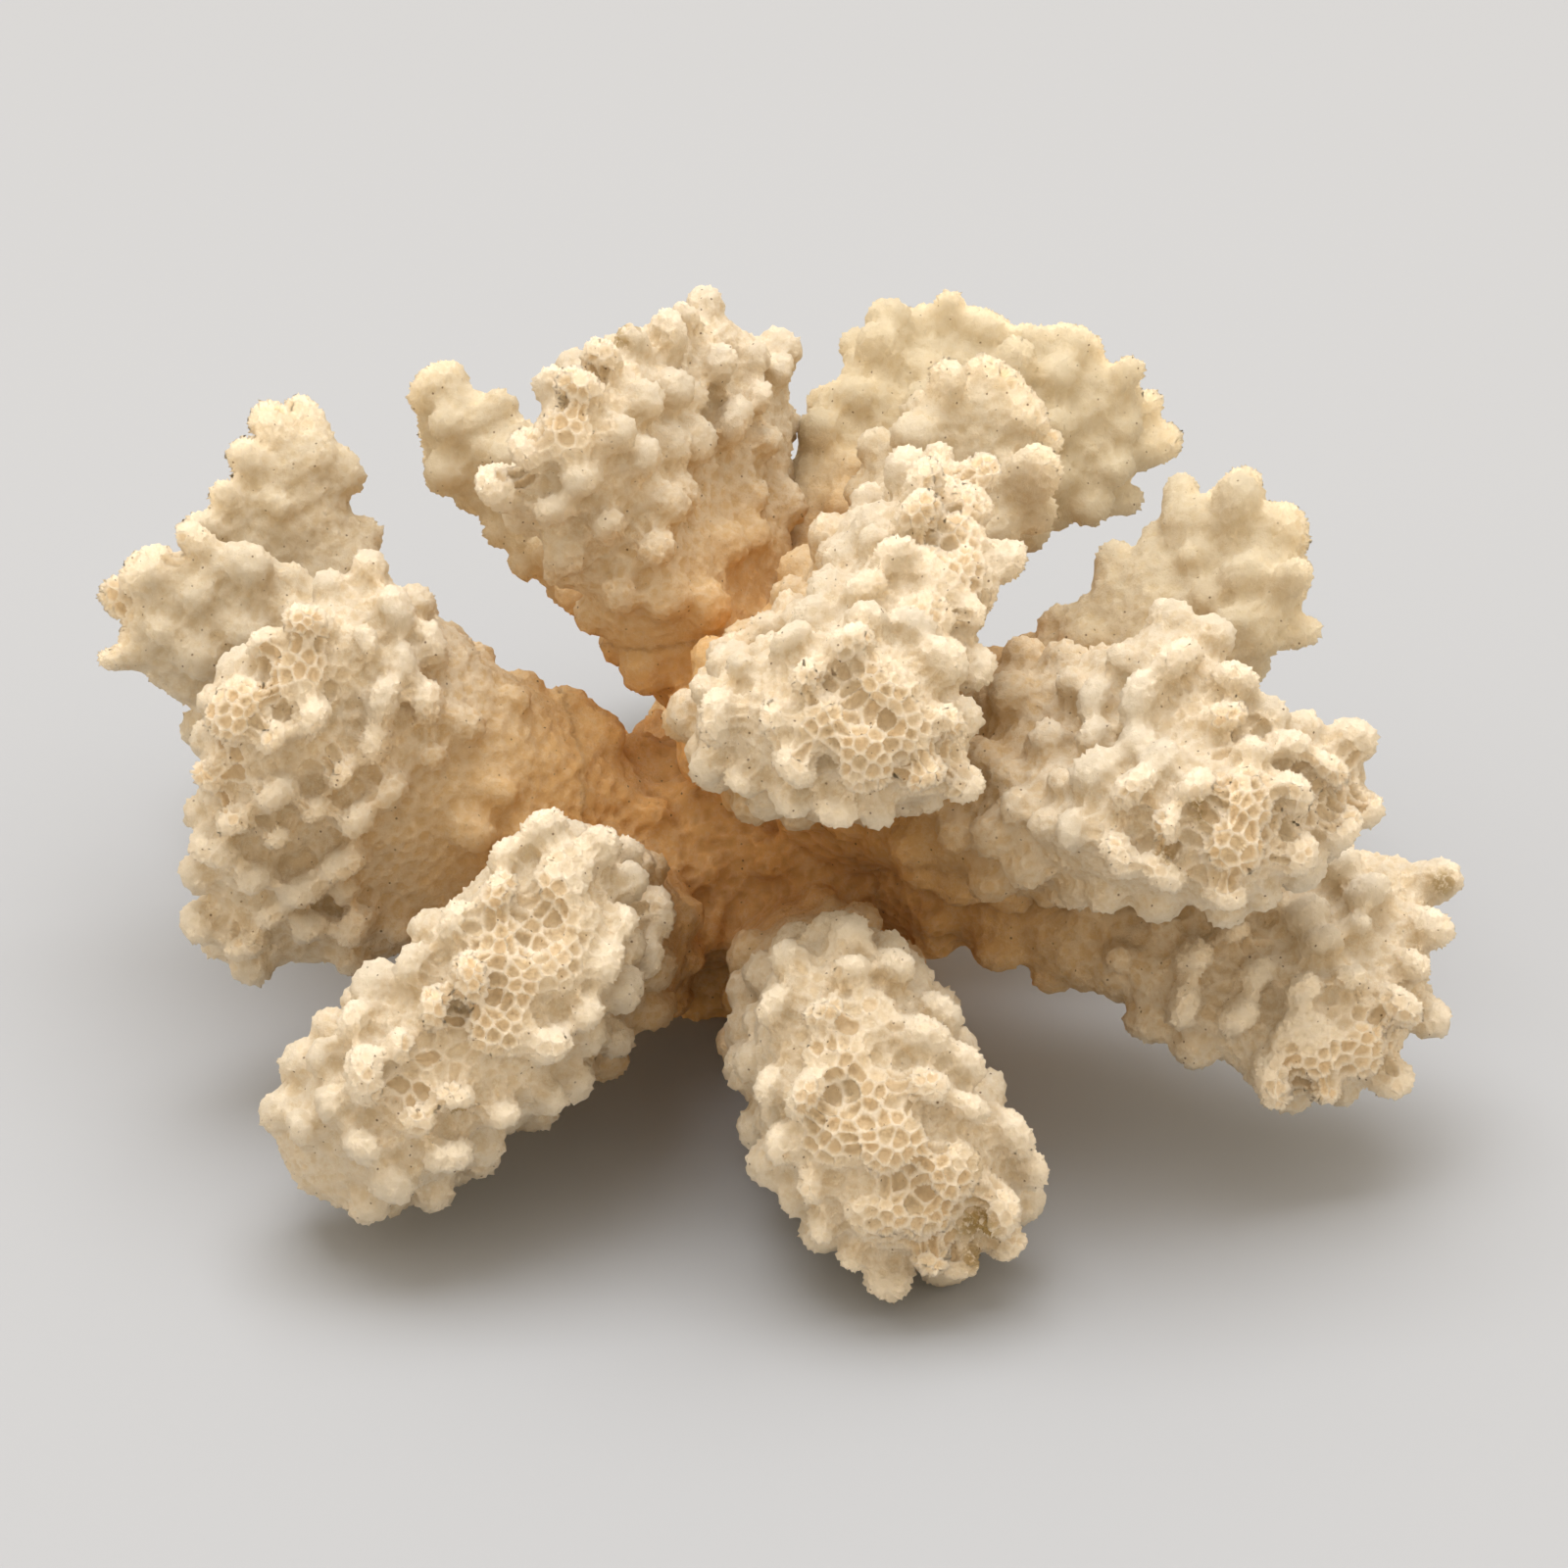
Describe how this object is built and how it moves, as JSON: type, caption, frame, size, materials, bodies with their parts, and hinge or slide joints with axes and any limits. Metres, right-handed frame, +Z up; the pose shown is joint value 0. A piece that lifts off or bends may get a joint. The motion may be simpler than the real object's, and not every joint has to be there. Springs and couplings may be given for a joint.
{
  "type": "cauliflower coral",
  "caption": "Dried cauliflower coral skeleton: a short trunk, cut flat below, that forks into flattened wart-covered lobes with honeycombed growing edges.",
  "frame": {"origin": "centre of the flat cut under the trunk, where the piece rests", "axes": "+Z up, +X to the right and -Y to the front, as the picture shows the piece"},
  "size_m": [0.0883, 0.0902, 0.0472],
  "materials": {
    "coral": "dry, chalky and matt"
  },
  "bodies": {
    "root": {"trunk": "coral", "lobe_front_left": "coral", "lobe_front": "coral", "lobe_right_low": "coral", "lobe_right_front": "coral", "lobe_right_back": "coral", "lobe_back_right": "coral", "lobe_top_right": "coral", "lobe_crown": "coral", "lobe_top_left": "coral", "lobe_back_left": "coral", "lobe_left_back": "coral", "lobe_left_tip": "coral", "lobe_left_front": "coral", "lobe_rear": "coral", "lobe_rear_left": "coral", "lobe_rear_right": "coral"}
  },
  "joints": []
}
